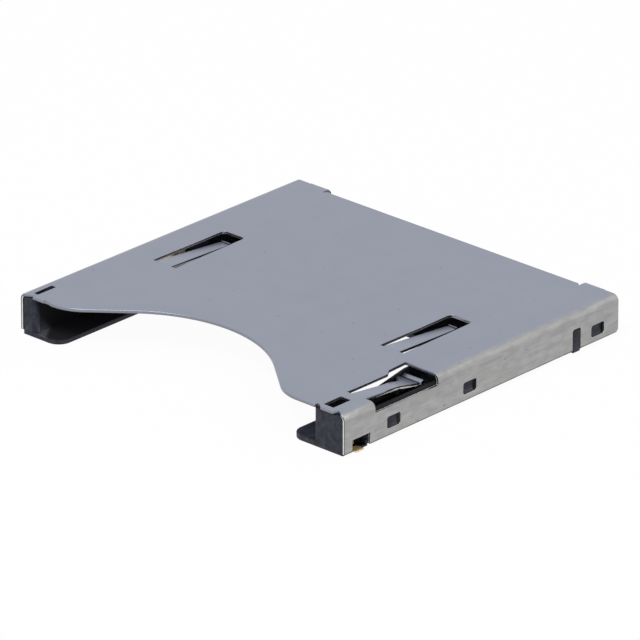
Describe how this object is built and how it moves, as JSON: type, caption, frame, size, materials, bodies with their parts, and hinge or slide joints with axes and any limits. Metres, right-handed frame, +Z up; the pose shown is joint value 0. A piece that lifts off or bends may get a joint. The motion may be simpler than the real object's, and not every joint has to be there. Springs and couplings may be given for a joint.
{
  "type": "sd card socket",
  "caption": "Low board-mounted socket for a memory card, with a stamped steel shell over a black moulding, gold contact springs and a push-push eject slider",
  "frame": {"origin": "centre of the footprint, on the board face", "axes": "+X across the slot to the right as a card goes in, +Y into the socket, +Z up from the board"},
  "size_m": [0.0282, 0.0262, 0.0029],
  "materials": {
    "shell_steel": "cool grey rolled stainless sheet, satin, with brighter sheared edges",
    "moulding": "black glass-filled moulding, matt",
    "gold_plate": "thin gold plate on copper alloy strip",
    "slider_moulding": "black acetal, smooth",
    "spring_steel": "drawn bright stainless wire"
  },
  "bodies": {
    "socket": {"shell": "shell_steel", "housing": "moulding", "contact_1": "gold_plate", "contact_2": "gold_plate", "contact_3": "gold_plate", "contact_4": "gold_plate", "contact_5": "gold_plate", "contact_6": "gold_plate", "contact_7": "gold_plate", "contact_8": "gold_plate", "contact_9": "gold_plate", "protect_spring": "gold_plate", "protect_terminal": "gold_plate", "detect_spring": "gold_plate", "detect_terminal": "gold_plate", "nail_right": "gold_plate", "nail_left": "gold_plate", "eject_spring": "spring_steel"},
    "slider": {"eject_slider": "slider_moulding"},
    "pin": {"cam_pin": "spring_steel"}
  },
  "joints": [
    {"name": "slider_slide", "type": "slide", "parent": "socket", "child": "slider", "axis": [0, 1, 0], "range_m": [0, 0.0048], "stiffness_N_per_m": 150, "springref_m": -0.008, "deforming": ["eject_spring"]},
    {"name": "cam_pin_swing", "type": "hinge", "parent": "socket", "child": "pin", "pos_m": [0.01242, -0.01188, 0.0012], "axis": [0, 0, 1], "range_deg": [0, 4.7]}
  ],
  "couplings": [
    {"joint": "cam_pin_swing", "follows": "slider_slide", "rad_per_m": 17.01}
  ]
}
